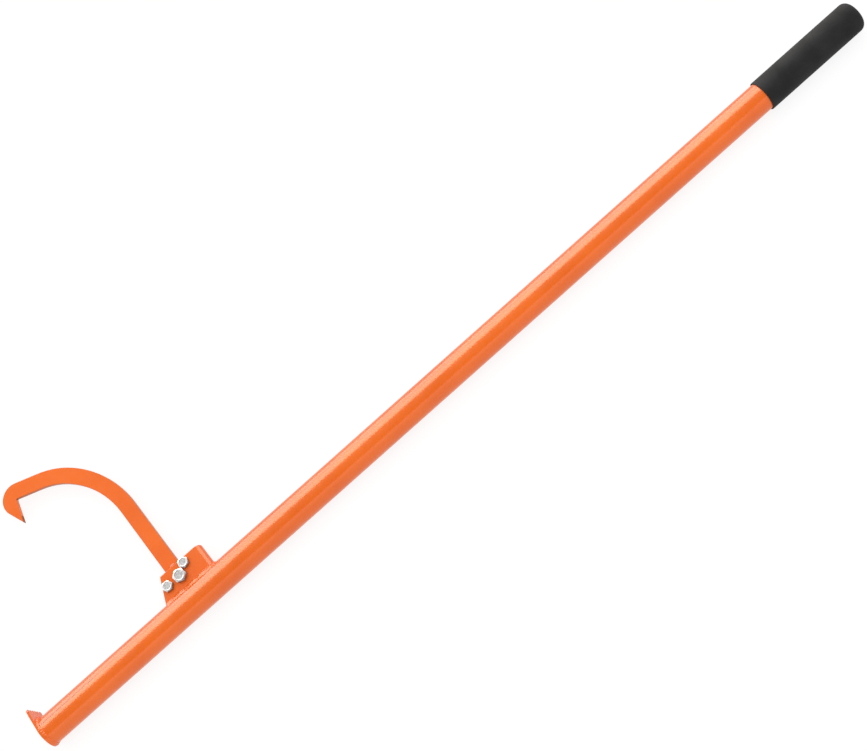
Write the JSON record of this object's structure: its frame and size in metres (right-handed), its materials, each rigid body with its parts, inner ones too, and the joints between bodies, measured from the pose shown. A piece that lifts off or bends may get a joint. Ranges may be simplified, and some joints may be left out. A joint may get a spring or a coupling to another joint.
{
  "type": "felling lever",
  "caption": "Long round steel bar with a toothed toe plate, a swinging flat cant hook in a bent bracket between stop bolts, and a closed rubber grip.",
  "frame": {"origin": "centre of the toe plate's outer face, on the bar's axis", "axes": "+X along the bar from the toe to the grip, +Y to the hook's side, +Z along the pivot bolt towards its head"},
  "size_m": [1.33, 0.3138, 0.0427],
  "materials": {
    "orange_paint": "glossy orange paint on steel",
    "zinc_plate": "bright zinc plate",
    "black_rubber": "fine matte foam rubber",
    "nylon": "natural nylon"
  },
  "bodies": {
    "lever": {"bar_tube": "orange_paint", "toe_plate": "orange_paint", "toe_weld": "orange_paint", "hook_bracket": "orange_paint", "bracket_weld_near": "orange_paint", "bracket_weld_far": "orange_paint", "bracket_weld_bend": "orange_paint", "pivot_washer_near": "zinc_plate", "pivot_washer_far": "zinc_plate", "pivot_bolt": "zinc_plate", "pivot_nut": "zinc_plate", "pivot_nut_insert": "nylon", "grip_stop_bolt": "zinc_plate", "grip_stop_nut": "zinc_plate", "grip_stop_nut_insert": "nylon", "toe_stop_bolt": "zinc_plate", "toe_stop_nut": "zinc_plate", "toe_stop_nut_insert": "nylon", "grip_sleeve": "black_rubber"},
    "hook": {"cant_hook": "orange_paint"}
  },
  "joints": [
    {"name": "hook_swing", "type": "hinge", "parent": "lever", "child": "hook", "pos_m": [0.2516, 0.0332, 0], "axis": [0, 0, 1], "range_deg": [-10, 20.5]}
  ]
}
